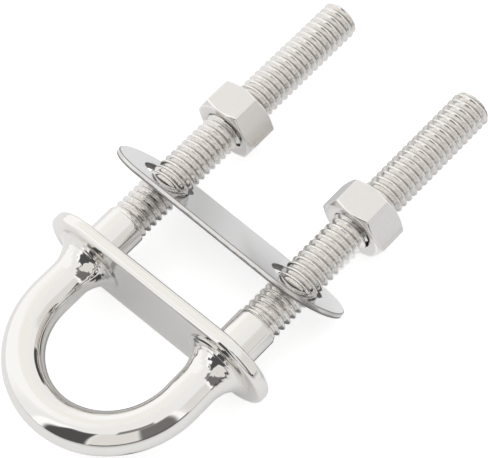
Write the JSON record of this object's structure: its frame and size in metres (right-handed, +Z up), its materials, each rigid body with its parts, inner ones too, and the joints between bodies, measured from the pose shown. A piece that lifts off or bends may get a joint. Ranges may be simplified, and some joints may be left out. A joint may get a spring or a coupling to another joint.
{
  "type": "pad eye",
  "caption": "Boat eye: a round bar bent into a half-round eye and welded through an obround flange, with threaded legs, a loose backing plate and hex nuts.",
  "frame": {"origin": "centre of the flange's mounting face, midway between the two legs", "axes": "+Y runs along the legs, away from the eye, and is the normal of the mounting face; +X runs from the left leg to the right leg; +Z is up, square to the plane of the bent bar, as the fitting lies flat"},
  "size_m": [0.053, 0.0982, 0.019],
  "materials": {
    "polished_steel": "mirror-polished stainless steel",
    "satin_steel": "satin stainless steel"
  },
  "bodies": {
    "eye_body": {"u_bar": "polished_steel", "flange_plate": "polished_steel", "left_weld_fillet": "polished_steel", "right_weld_fillet": "polished_steel"},
    "plate_body": {"backing_plate": "satin_steel"},
    "left_nut_body": {"left_nut": "satin_steel"},
    "right_nut_body": {"right_nut": "satin_steel"}
  },
  "joints": [
    {"name": "backing_plate_slide", "type": "slide", "parent": "eye_body", "child": "plate_body", "axis": [0, 1, 0], "range_m": [-0.0115, 0.004]},
    {"name": "left_nut_travel", "type": "slide", "parent": "eye_body", "child": "left_nut_body", "axis": [0, 1, 0], "range_m": [-0.005, 0.0264]},
    {"name": "right_nut_travel", "type": "slide", "parent": "eye_body", "child": "right_nut_body", "axis": [0, 1, 0], "range_m": [-0.004, 0.0274]}
  ]
}
